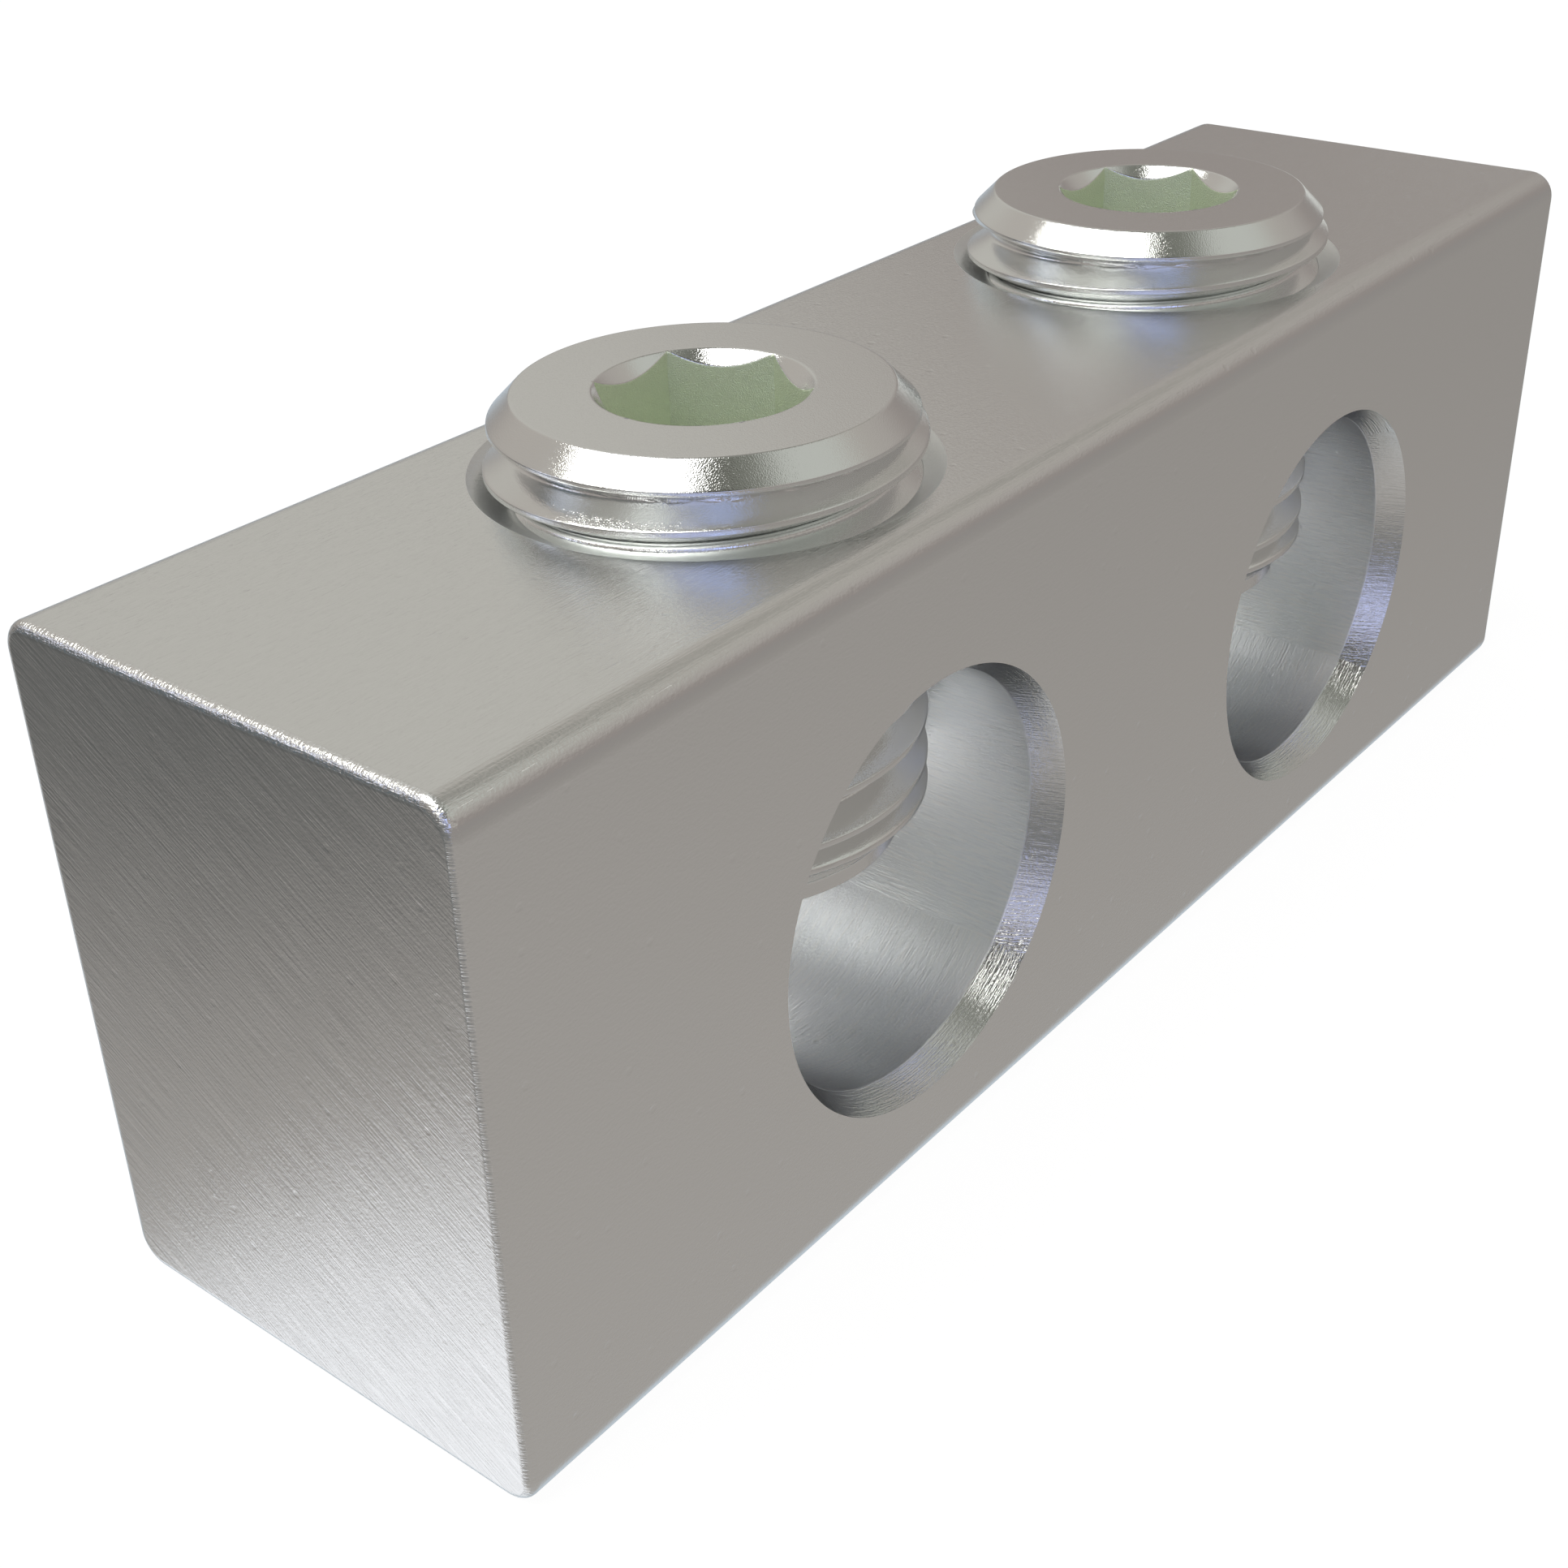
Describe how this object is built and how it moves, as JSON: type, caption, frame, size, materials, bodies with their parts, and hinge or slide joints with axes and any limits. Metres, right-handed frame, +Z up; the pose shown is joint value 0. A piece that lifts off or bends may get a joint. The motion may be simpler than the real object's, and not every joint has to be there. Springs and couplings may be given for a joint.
{
  "type": "multiple cable tap",
  "caption": "Aluminium cable tap bar with cross bores for stripped conductors and a hex socket set screw over each bore.",
  "frame": {"origin": "middle of the block's underside, midway between the two conductor bores", "axes": "+X along the block from bore to bore, +Y along the conductor bores towards the rear face, +Z up along the set screws"},
  "size_m": [0.0528, 0.0142, 0.0206],
  "materials": {
    "block_aluminium": "extruded bar, satin, sawn ends",
    "screw_plating": "smooth bright plating on a turned aluminium screw"
  },
  "bodies": {
    "block": {"block": "block_aluminium"},
    "set_screw_left": {"set_screw_left": "screw_plating"},
    "set_screw_right": {"set_screw_right": "screw_plating"}
  },
  "joints": [
    {"name": "left_screw_travel", "type": "slide", "parent": "block", "child": "set_screw_left", "axis": [0, 0, 1], "range_m": [-0.00254, 0.00635]},
    {"name": "right_screw_travel", "type": "slide", "parent": "block", "child": "set_screw_right", "axis": [0, 0, 1], "range_m": [-0.00254, 0.00635]}
  ]
}
